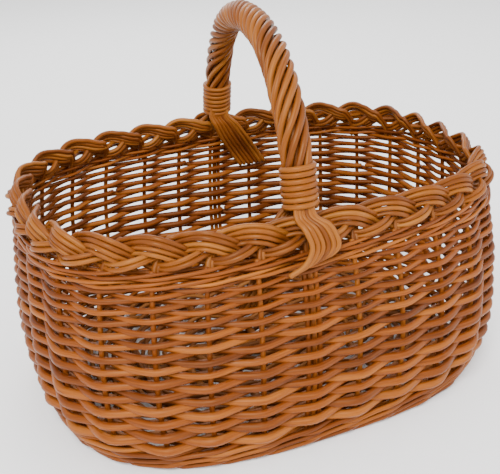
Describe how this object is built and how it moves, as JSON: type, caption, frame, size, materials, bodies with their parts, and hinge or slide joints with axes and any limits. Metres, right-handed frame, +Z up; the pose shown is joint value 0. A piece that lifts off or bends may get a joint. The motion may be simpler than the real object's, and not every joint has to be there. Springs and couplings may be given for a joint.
{
  "type": "woven market basket",
  "caption": "Oval woven willow basket with bulged sides, a plaited border and one fixed bow handle wrapped in roped rods.",
  "frame": {"origin": "middle of the underside, on the surface that the basket stands on", "axes": "+X along the basket's long side, +Y across it, +Z up"},
  "size_m": [0.4516, 0.3516, 0.3485],
  "materials": {
    "wall_willow": "satin peeled and boiled willow rods, honey brown",
    "border_willow": "satin willow rods, golden brown",
    "handle_willow": "satin willow rods, golden brown",
    "base_willow": "satin willow rods and split sticks, brown"
  },
  "bodies": {
    "root": {"base_long_sticks": "base_willow", "base_rounds": "base_willow", "base_short_sticks": "base_willow", "binding_back": "handle_willow", "binding_front": "handle_willow", "border_strand_1": "border_willow", "border_strand_2": "border_willow", "border_strand_3": "border_willow", "foot_wale_1": "wall_willow", "foot_wale_2": "wall_willow", "foot_wale_3": "wall_willow", "handle_bow": "handle_willow", "handle_rope": "handle_willow", "inner_tails_back": "handle_willow", "inner_tails_front": "handle_willow", "outer_tails_back": "handle_willow", "outer_tails_front": "handle_willow", "side_course_01": "wall_willow", "side_course_02": "wall_willow", "side_course_03": "wall_willow", "side_course_04": "wall_willow", "side_course_05": "wall_willow", "side_course_06": "wall_willow", "side_course_07": "wall_willow", "side_course_08": "wall_willow", "side_course_09": "wall_willow", "side_course_10": "wall_willow", "side_course_11": "wall_willow", "side_course_12": "wall_willow", "side_course_13": "wall_willow", "side_course_14": "wall_willow", "side_course_15": "wall_willow", "side_course_16": "wall_willow", "side_course_17": "wall_willow", "side_course_18": "wall_willow", "side_course_19": "wall_willow", "side_course_20": "wall_willow", "side_course_21": "wall_willow", "side_course_22": "wall_willow", "side_course_23": "wall_willow", "side_course_24": "wall_willow", "side_course_25": "wall_willow", "side_course_26": "wall_willow", "side_stakes": "wall_willow", "top_wale_1": "wall_willow", "top_wale_2": "wall_willow"}
  },
  "joints": []
}
